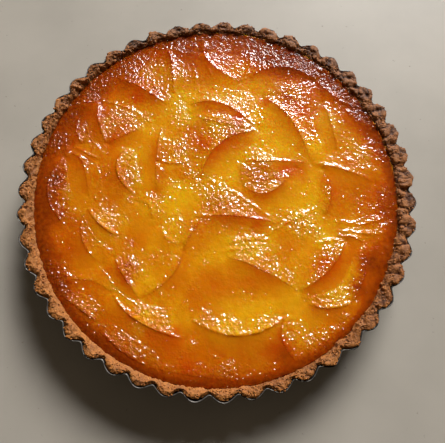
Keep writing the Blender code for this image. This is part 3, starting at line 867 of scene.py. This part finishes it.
def makeFilling():
    mesh, places = roundDisc(filling["rings"])
    radius, angle, z = toPolar(places)
    isSkirt = z < -0.5
    drop = filling["edgeDrop"] - filling["edgeRaise"] * fullness(angle)
    edgeHeight = filling["level"] - drop
    foot = fillingBox[0].z
    edgeRadius = insideRadius(angle, edgeHeight)
    reach = np.where(isSkirt, insideRadius(angle, foot), edgeRadius) + filling["overlap"]
    flat = fromPolar(radius * reach, angle, 0 * z)
    x, y = flat[:, 0], flat[:, 1]
    toCrust = (edgeRadius - np.hypot(x, y)).clip(0) * ~isSkirt
    xMm, yMm = x / mm, y / mm
    reliefs = (stepPins, "stepReach"), (curlPins, "curlReach"), (slopePins, "slopeReach")
    relief = sum(stretchSkin(pins, filling[reach], blur=1) for pins, reach in reliefs)
    relief = readGrid(relief, xMm, yMm)
    bead = readGrid(stretchSkin(beadPins, filling["beadReach"], sweeps=40, blur=2), xMm, yMm)
    bead *= 0.35 + 0.9 * np.abs(softNoise(flat, 3.5 * mm, seed=70))
    near = readGrid(stretchSkin(nearPins, filling["shadeReach"]), xMm, yMm)
    side = readGrid(stretchSkin(sidePins, filling["sideReach"], sweeps=80), xMm, yMm)
    line = readGrid(stretchSkin(linePins, filling["lineReach"], sweeps=20), xMm, yMm)
    print("folds stretched")
    caramel = caramelRim(flat, angle, toCrust)
    # the browned patches, a few of them painted shade, together with the caramel rim
    brownedAndShade = 1 - (1 - patchMask(brownedAndShadedPatches, xMm, yMm)) * (1 - 0.95 * caramel)
    yellow = patchMask(yellowPatches, xMm, yMm) + 0.3 * smooth(toCrust, 12 * mm, 35 * mm)
    patches = patchMask(pebbledPatches, xMm, yMm)
    pebbled = pebbledSkin(flat, patches, brownedAndShade, caramel, toCrust, bead, near, side)
    coarse = 0.7 + 1.5 * smooth(-0.6 * x - 0.8 * y, -80 * mm, 65 * mm)      # most at the front left
    grains = cellNoise(flat, filling["pebbleSize"], seed=5)
    texture = 1.2 * (0.5 - grains) + 0.5 * softNoise(flat, 1.5 * mm, seed=9)
    texture *= filling["pebble"] * pebbled
    waves = filling["wave"] * layeredNoise(flat, 8 * mm, 2, seed=21)
    height = (filling["level"] - drop * np.exp(-toCrust / filling["edgeWidth"])
              + (relief + bead) * mm * (toCrust / filling["foldFade"]).clip(0, 1)
              + (texture + waves) * (toCrust / mm).clip(0, 1))
    writePlaces(mesh, np.stack([x, y, np.where(isSkirt, foot, height)], axis=1))
    masks = {"near": near, "side": side, "line": line, "brownedAndShade": brownedAndShade, "yellow": yellow,
             "deep": patchMask(deepPatches, xMm, yMm), "pebbled": pebbled, "coarse": coarse,
             "dry": patchMask(dryPatches, xMm, yMm)}
    for name, values in masks.items():
        paint(mesh, name, values)
    addPiece("filling.glazed", mesh, glazeMaterial(), "filling")


makeFilling()
print("filling made")


flutes = {"count": 47, "depth": 4.0 * mm, "sharp": 0.25, "phase": math.radians(-10.2)}


def fluteWave(turn):      # 1 on a round crest, 0 in the tight valley between two
    wave = np.cos(flutes["count"] * turn / 2) ** 2
    sharp = flutes["sharp"]
    return (np.sqrt(wave + sharp ** 2) - sharp) / (math.sqrt(1 + sharp ** 2) - sharp)


def spinSection(name, section, fluteSteps):      # a (radius, height) section turned by one flute, repeated
    flute = math.tau / flutes["count"]
    bm = bmesh.new()
    verts = [bm.verts.new((radius, 0, height)) for radius, height in section]
    edges = [bm.edges.new(pair) for pair in zip(verts, verts[1:])]
    bmesh.ops.spin(bm, geom=verts + edges, axis=(0, 0, 1), cent=(0, 0, 0), steps=fluteSteps, angle=flute)
    bmesh.ops.remove_doubles(bm, verts=bm.verts[:], dist=0.001 * mm)
    bmesh.ops.spin(bm, geom=bm.verts[:] + bm.edges[:] + bm.faces[:], axis=(0, 0, 1), cent=(0, 0, 0),
                   steps=flutes["count"] - 1, angle=math.tau - flute, use_duplicate=True)
    bmesh.ops.remove_doubles(bm, verts=bm.verts[:], dist=0.003 * mm)
    bmesh.ops.recalc_face_normals(bm, faces=bm.faces[:])
    return finishMesh(bm, name)


def sampleCurve(points, spacing):      # even points along a smooth curve through a few corners
    points = np.array(points, float)
    full = np.concatenate([2 * points[:1] - points[1:2], points, 2 * points[-1:] - points[-2:-1]])
    out = []
    for i in range(len(points) - 1):
        a, b, c, d = full[i:i + 4]
        for t in np.linspace(0, 1, max(2, int(np.linalg.norm(c - b) / spacing) + 1), endpoint=False):
            out.append(0.5 * (2 * b + (c - a) * t + (2 * a - 5 * b + 4 * c - d) * t ** 2
                              + (3 * b - a - 3 * c + d) * t ** 3))
    out.append(points[-1])
    return np.array(out)


crust = {
    "fluteSteps": 34,
    "spacing": 0.33 * mm,
    "outerFrom": 116.0 * mm,     # between these radii the fluted outside takes over from the round inside
    "outerTo": 122.5 * mm,
    "overhang": 1.6 * mm,    # how far the full side hangs over the tin's edge
    "rise": 0.8 * mm,        # and how much higher it stands
    "cleft": 1.7 * mm,       # depth of the groove between two lobes
    "pocket": 1.3 * mm,      # depth of the hole in the middle of a full lobe, its place and its width
    "pocketRadius": 119.8 * mm,
    "pocketWidth": 1.1 * mm,
    "lumpSize": 6.0 * mm,    # lumps, clods, grains and broad bulges, and how far they stand out
    "lump": 1.9 * mm,
    "clodSize": 2.7 * mm,
    "clod": 1.1 * mm,
    "grainSize": 1.3 * mm,
    "grain": 0.65 * mm,
    "broadSize": 9.0 * mm,
    "broad": 0.4 * mm,
    "kneeHeight": 29.2 * mm,     # above it lumps and crumbs are held down, to stay under the cap
    "capHeight": 30.5 * mm,
}

# the pastry from its inside wall over the top to its outer edge: radius, and height from the tin's edge
crustTop = [
    (115.0, -5.0), (115.4, -2.6), (116.6, -0.7), (118.4, 0.6), (120.8, 1.1), (122.6, 0.8), (123.7, 0.0),
    (123.7, -1.2), (123.3, -3.0),
]

# angle in degrees, radius in mm, spread in mm and strength of dark spots on the lobes, partly scorching and
# partly painted shade in their crevices
scorchedAndShadedSpots = [
    (134, 123, 3, 0.25), (119.5, 123, 4.5, 1.0), (117.5, 120, 3, 0.7), (111, 122, 3, 0.4),
    (104.5, 123.5, 4.5, 0.9), (101, 122, 3.5, 0.8), (93.5, 123, 4, 0.8), (88, 124, 2.5, 0.5),
    (80, 123, 4, 0.7), (69, 121, 3.5, 0.55), (62, 123, 3, 0.5), (57, 122, 3, 0.45), (50, 123, 3.2, 0.5),
    (43, 123, 3.2, 0.55), (36, 123, 3.2, 0.6), (28.5, 123, 3.2, 0.55), (21, 123, 3, 0.55),
    (13.5, 123, 3, 0.5), (6, 123, 3, 0.4), (-2, 124, 3, 0.6), (-9.5, 123, 3, 0.3), (-17, 124, 3, 0.25),
]

pastry = {
    "tan": (0.465, 0.172, 0.032, 1),
    "brown": (0.32, 0.105, 0.020, 1),
    "pale": (0.645, 0.298, 0.083, 1),
    # colour of the painted shade in crevices, pockets and fine pits
    "cavityShade": (0.085, 0.022, 0.004, 1),
    # colour of the scorched spots, which are also painted shade in the lobes' crevices
    "scorchedAndShaded": (0.040, 0.014, 0.005, 1),
    "cloudScale": 160.0,
    "grainScale": 1000.0,
    "grainShare": 0.45,
    "grainPale": 0.4,
    "grainHeight": 0.6,
    "fineScale": 1100.0,
    "bump": 0.35 * mm,
    "pitScale": 800.0,
    "pitDark": 0.25,
}


def pastryMaterial():
    material, tree, shader = freshMaterial("bakedPastry")
    spot = objectSpot(tree)
    cloud = useGroup(tree, "mottle", Vector=spot, Scale=pastry["cloudScale"], Low=0.25, High=0.55)
    color = blendColors(tree, cloud, pastry["brown"], pastry["tan"])
    color = blendColors(tree, readMask(tree, "toast"), color, pastry["brown"])
    grains = useGroup(tree, "pebbles", Vector=spot, Scale=pastry["grainScale"], Cover=pastry["grainShare"])
    color = blendColors(tree, times(tree, grains, pastry["grainPale"]), color, pastry["pale"])
    # fine pits darkened with the painted shade colour
    pits = useGroup(tree, "mottle", Vector=spot, Scale=pastry["pitScale"], Low=0.44, High=0.36)
    color = blendColors(tree, times(tree, pits, pastry["pitDark"]), color, pastry["cavityShade"])
    # painted shade in the crevices between lumps and in the lobes' pockets
    color = blendColors(tree, readMask(tree, "cavityShade"), color, pastry["cavityShade"])
    # scorching, and painted shade in the crevices of the full lobes
    color = blendColors(tree, readMask(tree, "scorchAndShade"), color, pastry["scorchedAndShaded"])
    tree.links.new(color, shader.inputs["Base Color"])
    fine = noise(tree, spot, pastry["fineScale"], 4.0)
    height = plus(tree, fine, times(tree, grains, pastry["grainHeight"]))
    tree.links.new(bump(tree, height, 0.9, pastry["bump"]), shader.inputs["Normal"])
    setInputs(shader, {"Roughness": 0.72, "Specular IOR Level": 0.12})
    return material


def holdDown(places):
    over = (places[..., 2] - crust["kneeHeight"]).clip(0)
    room = crust["capHeight"] - crust["kneeHeight"]
    places[..., 2] += room * (1 - np.exp(-over / room)) - over


def crustSection():
    top = sampleCurve([(r * mm, rimHeight + h * mm) for r, h in crustTop], crust["spacing"])
    floor, underside = inside["floor"], crustBox[0].z
    inner = [(0, floor), (inside["foot"] * mm, floor), (112.8 * mm, 14 * mm)]
    outer = [(121.8 * mm, 16 * mm), (119.9 * mm, underside), (0, underside)]
    return inner + [tuple(p) for p in top] + outer


# dark spots, partly scorching and partly painted shade
def scorchAndShadeSpots(places):
    scorchAndShade = np.zeros(len(places))
    for degrees, distance, spread, strength in scorchedAndShadedSpots:
        a = math.radians(degrees)
        fromX = places[:, 0] - distance * mm * math.cos(a)
        fromY = places[:, 1] - distance * mm * math.sin(a)
        scorchAndShade += strength * np.exp(-(np.hypot(fromX, fromY) / (spread * mm)) ** 2)
    scorchAndShade *= 0.8 + 0.8 * layeredNoise(places, 2.6 * mm, 2, seed=31)
    return scorchAndShade.clip(0, 1)


def makeCrust():
    mesh = spinSection("crust", crustSection(), crust["fluteSteps"])
    radius, turn, z = toPolar(readVectors(mesh, "co"))
    angle = turn + flutes["phase"]
    wave = fluteWave(turn)
    full = fullness(angle)
    outer = smooth(radius, crust["outerFrom"], crust["outerTo"])
    outer = np.where((z < rimHeight - 1.2 * mm) & (radius > 117 * mm), 1.0, outer)
    inner = np.where(radius > 90 * mm, 1 - outer, 0)
    overEdge = smooth(z, rimHeight + 0.1 * mm, rimHeight + 0.9 * mm)
    radius = radius - outer * flutes["depth"] * (1 - wave) + inner * wallSway(angle)
    radius = radius + outer * overEdge * full * crust["overhang"]
    groove = (1 - wave) ** 2 * smooth(outer, 0.55 - 0.5 * full, 1.05 - 0.35 * full)
    groove *= smooth(z, rimHeight - 1.5 * mm, rimHeight + 0.5 * mm)
    z = z - crust["cleft"] * (0.35 + 0.65 * full) * groove
    risen = np.where(radius > 112 * mm, smooth(z, rimHeight - 4 * mm, rimHeight - 2 * mm), 0)
    z = z + crust["rise"] * full * risen
    bare = fromPolar(radius, angle, z)
    writePlaces(mesh, bare)
    normals = readVectors(mesh, "normal")

    broad = layeredNoise(bare, crust["broadSize"], 2, seed=2)
    bent = bare + 0.7 * mm * softNoise(bare, 3 * mm, seed=6)[:, None]
    lump = np.abs(softNoise(bent, crust["lumpSize"], seed=4))
    clod = np.abs(softNoise(bent, crust["clodSize"], seed=8))
    grain = np.abs(softNoise(bent, crust["grainSize"], seed=14))
    roughly = 0.45 + 0.55 * full
    push = crust["lump"] * roughly * (lump - 0.3) + crust["clod"] * (clod - 0.3)
    push += crust["grain"] * (grain - 0.3) + crust["broad"] * broad
    lobeDepth = full * (0.6 + 0.8 * softNoise(bare, 11 * mm, seed=61)).clip(0, 1.2)
    fromPocket = (radius - crust["pocketRadius"]) / crust["pocketWidth"]
    pocket = lobeDepth * np.exp(-fromPocket ** 2) * smooth(wave, 0.4, 0.9)
    push -= crust["pocket"] * pocket
    visible = smooth(z, rimHeight - 4.5 * mm, rimHeight - 2.0 * mm)
    besideTin = (radius > 119 * mm) & (z < rimHeight + 0.1 * mm)
    push = np.where(besideTin, np.minimum(push, 0.05 * mm), push) * visible
    places = bare + normals * push[:, None]
    holdDown(places)
    writePlaces(mesh, places)

    # painted shade: darkest in the crevices between lumps, clods and grains, and in the pockets
    cavityShade = 1 - smooth(lump, 0.0, 0.26 * roughly) * smooth(clod, 0.0, 0.16) * smooth(grain, -0.1, 0.1)
    cavityShade = (cavityShade * (0.3 + 0.7 * full) + 0.9 * pocket).clip(0, 1)
    paint(mesh, "scorchAndShade", scorchAndShadeSpots(places))
    paint(mesh, "cavityShade", cavityShade * visible)
    paint(mesh, "toast", (0.75 * full + 0.35 * broad).clip(0, 0.85))
    return addPiece("crust.crumbly", mesh, pastryMaterial(), "crust")


crustPiece = makeCrust()
print("crust made")


crumbs = {
    "doublings": 12,         # of one grain
    "smallest": 0.22 * mm,
    "largest": 0.75 * mm,
    "raised": 0.35,          # a grain's middle is this many radii above the pastry
}


def makeCrumbs(crustMesh):      # loose grains half sunk in the top of the pastry
    crustPlaces, normals = readVectors(crustMesh, "co"), readVectors(crustMesh, "normal")
    radius, _, z = toPolar(crustPlaces)
    isTop = (z > rimHeight - 1.2 * mm) & (normals[:, 2] > 0.2) & (radius > 112 * mm)
    random = np.random.default_rng(7)
    bm = bmesh.new()
    bmesh.ops.create_icosphere(bm, subdivisions=1, radius=1)
    each = len(bm.verts)
    for _ in range(crumbs["doublings"]):
        bmesh.ops.duplicate(bm, geom=bm.verts[:] + bm.edges[:] + bm.faces[:])
    mesh = finishMesh(bm, "crumbs")
    grains = readVectors(mesh, "co").reshape(-1, each, 3)
    count = len(grains)
    chosen = random.choice(np.nonzero(isTop)[0], count, replace=False)
    sizes = crumbs["smallest"] + (crumbs["largest"] - crumbs["smallest"]) * random.random(count) ** 3
    grains = grains * random.uniform(0.65, 1.2, (count, 1, 3)) * random.uniform(0.75, 1.2, (count, each, 1))
    spin = random.uniform(0, math.tau, count)
    cos, sin = np.cos(spin)[:, None], np.sin(spin)[:, None]
    x, y, z = grains[..., 0], grains[..., 1], grains[..., 2]
    grains = np.stack([x * cos - y * sin, x * sin + y * cos, z], axis=2) * sizes[:, None, None]
    middles = crustPlaces[chosen] + normals[chosen] * sizes[:, None] * crumbs["raised"]
    grains += middles[:, None, :]
    holdDown(grains)
    writePlaces(mesh, grains.reshape(-1, 3))
    # the crumbs take the crust's toast, and its scorching and painted shade
    for name in ("scorchAndShade", "toast"):
        values = np.empty(len(crustMesh.vertices), dtype=np.float32)
        crustMesh.attributes[name].data.foreach_get("value", values)
        paint(mesh, name, np.repeat(values[chosen], each))
    # the crumbs get no painted shade
    paint(mesh, "cavityShade", np.zeros(count * each))
    addPiece("crust.crumbs", mesh, bpy.data.materials["bakedPastry"])


makeCrumbs(crustPiece.data)
print("crumbs scattered")


tin = {
    "fluteSteps": 24,
    "wall": 0.6 * mm,
    "lip": 0.12 * mm,        # its edge is rounded by this much
    "dent": 0.25 * mm,
    "dark": (0.030, 0.026, 0.022, 1),
    "stained": (0.085, 0.080, 0.075, 1),
    "rubbed": (0.045, 0.042, 0.040, 1),
}

# the outside of the tin, radius and height in mm: middle of the underside, corner and edge
tinOutside = [
    (0, 0), (100, 0), (117.5, 0), (119.3, 0.15), (120.3, 0.6), (120.9, 1.4), (121.2, 2.6), (123.2, 15.0),
    (124.85, 27.4), (124.97, 28.0),
]


def tinMaterial():
    material, tree, shader = freshMaterial("bakedTin")
    spot = objectSpot(tree)
    stain = useGroup(tree, "mottle", Vector=spot, Scale=60.0, Low=0.3, High=0.7)
    rub = useGroup(tree, "mottle", Vector=spot, Scale=240.0, Low=0.52, High=0.66)
    color = blendColors(tree, stain, tin["dark"], tin["stained"])
    bare = times(tree, readMask(tree, "edge"), rub)
    color = blendColors(tree, bare, color, tin["rubbed"])
    tree.links.new(color, shader.inputs["Base Color"])
    streak = useGroup(tree, "mottle", Vector=spot, Scale=500.0)
    tree.links.new(remap(tree, streak, 0, 1, 0.42, 0.7), shader.inputs["Roughness"])
    setInputs(shader, {"Metallic": 0.9, "Specular IOR Level": 0.25})
    return material


def makeTin():
    outer = [(r * mm, h * mm) for r, h in tinOutside]
    inner = []
    for r, h in outer[:-2]:
        inner.append((r - tin["wall"] if h > 0.1 * mm else r, tin["wall"] + 0.9 * h))
    inner += [(r - tin["wall"], h) for r, h in outer[-2:]]
    lip = ((outer[-1][0] + inner[-1][0]) / 2, outer[-1][1] + tin["lip"])
    mesh = spinSection("tin", inner + [lip] + outer[::-1], tin["fluteSteps"])
    radius, turn, z = toPolar(readVectors(mesh, "co"))
    share = smooth(radius, 112 * mm, 119 * mm)
    radius = radius - share * flutes["depth"] * (1 - fluteWave(turn))
    places = fromPolar(radius, turn + flutes["phase"], z)
    dents = tin["dent"] * softNoise(places, 14 * mm, seed=50) * smooth(z, 4 * mm, 26 * mm)
    places[:, :2] *= (1 + dents / radius.clip(mm))[:, None]
    writePlaces(mesh, places)
    paint(mesh, "edge", smooth(z, 27.3 * mm, 27.9 * mm))
    addPiece("tin.fluted", mesh, tinMaterial(), "tin")


makeTin()
print("tin made")
